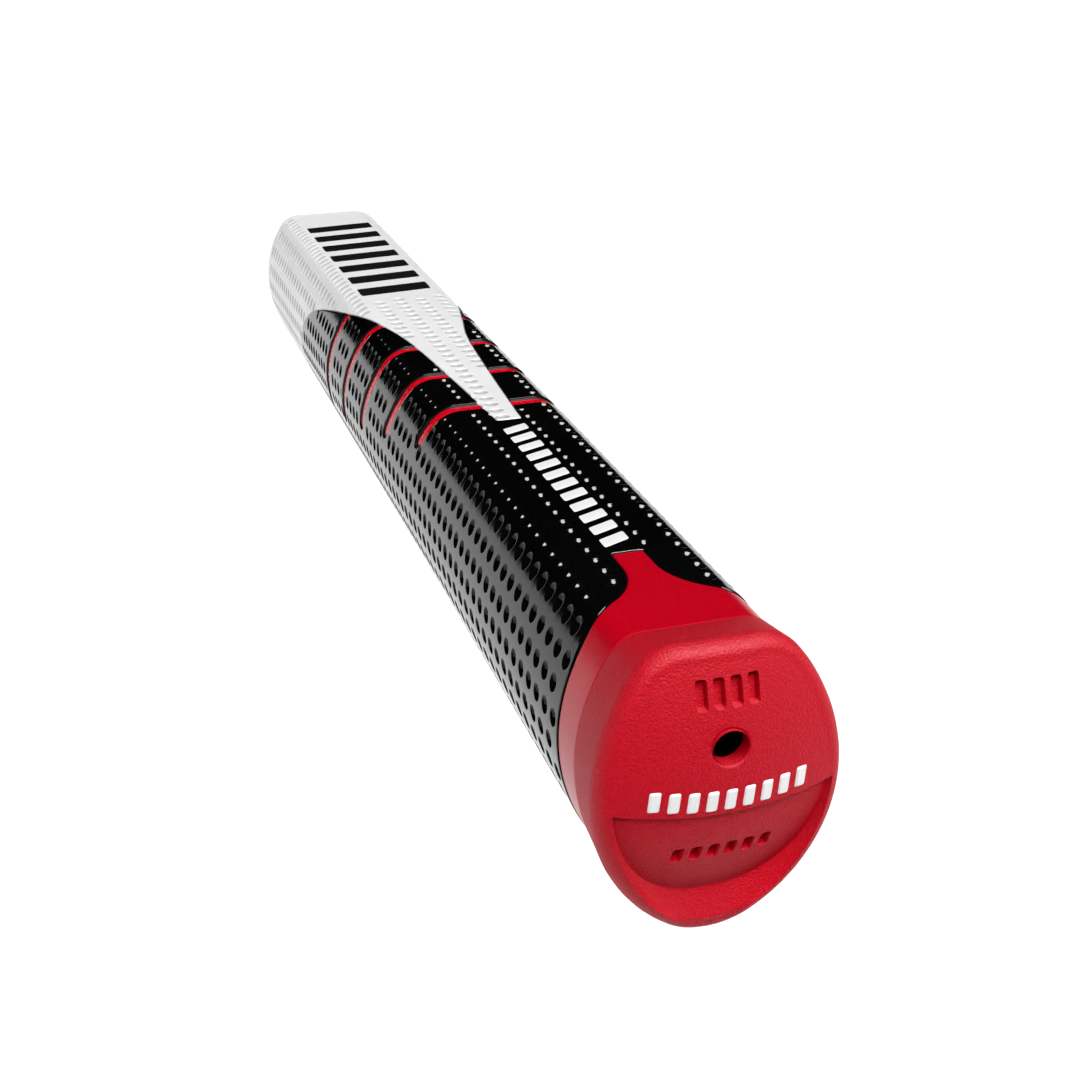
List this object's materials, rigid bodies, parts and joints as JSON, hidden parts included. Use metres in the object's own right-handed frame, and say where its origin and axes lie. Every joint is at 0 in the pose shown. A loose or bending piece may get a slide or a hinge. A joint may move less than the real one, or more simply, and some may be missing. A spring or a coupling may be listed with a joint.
{
  "type": "golf grip",
  "caption": "Flat-top putter grip with a foam core, dimpled polyurethane skins, accent grooves, a rubber end cap with a vent hole, and a bore for a putter shaft.",
  "frame": {"origin": "on the shaft bore's axis, where the shaft's butt end seats in the cap", "axes": "+Y along the bore toward its mouth, +Z toward the flat thumb face, X across"},
  "size_m": [0.033, 0.267, 0.0399],
  "materials": {
    "foam_rubber": "matte closed-cell foam rubber",
    "felt": "matted non-woven textile",
    "black_pu": "glossy polyurethane with oval dimples",
    "white_pu": "satin polyurethane with lengthwise flutes",
    "black_pu_seam": "glossy heat-sealed strip",
    "white_pu_seam": "satin heat-sealed strip",
    "red_rubber": "moulded rubber, grainy flange and smooth collar",
    "white_rubber": "smooth satin rubber",
    "red_paint": "glossy paint line",
    "white_paint": "satin paint fill",
    "black_paint": "satin paint fill"
  },
  "bodies": {
    "root": {"underlisting_sleeve": "foam_rubber", "felt_backing": "felt", "black_skin": "black_pu", "white_skin": "white_pu", "seam_strip_upper": "black_pu_seam", "seam_strip_lower": "white_pu_seam", "butt_cap": "red_rubber", "mouth_collar": "white_rubber", "groove_paint_left": "red_paint", "groove_paint_right": "red_paint", "flat_mark_fill": "white_paint", "lower_mark_fill": "black_paint", "cap_mark_fill": "white_paint"}
  },
  "joints": []
}
